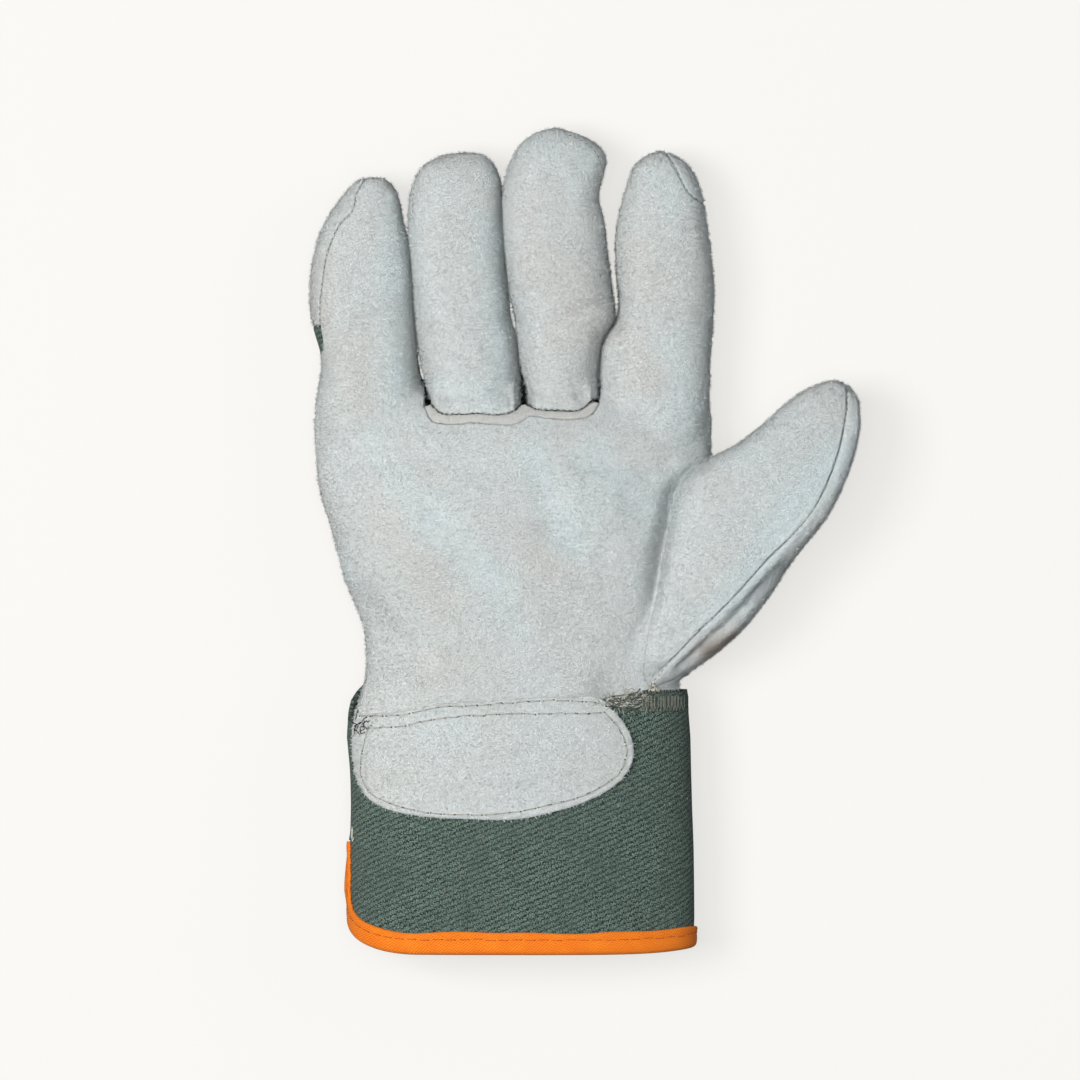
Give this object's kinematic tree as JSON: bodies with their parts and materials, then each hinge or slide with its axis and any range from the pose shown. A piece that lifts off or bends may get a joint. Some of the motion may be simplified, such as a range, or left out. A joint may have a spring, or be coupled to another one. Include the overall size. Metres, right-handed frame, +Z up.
{
  "type": "fitters work glove",
  "caption": "Split-leather palm work glove for the right hand, lying palm up, with twill back, stiff bound safety cuff and a leather cuff patch.",
  "frame": {"origin": "on the surface the glove lies on, under the middle of its bounding box", "axes": "+Z up out of the palm, +Y towards the fingertips, +X towards the thumb"},
  "size_m": [0.1698, 0.256, 0.0446],
  "materials": {
    "split_leather": "napped split leather, pale cool grey with faint warm mottling",
    "welt_leather": "narrow leather welt with a smooth folded edge",
    "twill": "dark green cotton twill, diagonal weave",
    "binding_tape": "orange woven bias tape"
  },
  "bodies": {
    "root": {"palm_leather": "split_leather", "ring_finger_front": "split_leather", "middle_finger_front": "split_leather", "finger_base_welt": "welt_leather", "thumb_front": "split_leather", "thumb_back": "split_leather", "index_finger_back": "split_leather", "little_fingertip_back": "split_leather", "ring_fingertip_back": "split_leather", "middle_fingertip_back": "split_leather", "back_cloth": "twill", "safety_cuff": "twill", "cuff_binding": "binding_tape", "cuff_patch": "split_leather"}
  },
  "joints": []
}
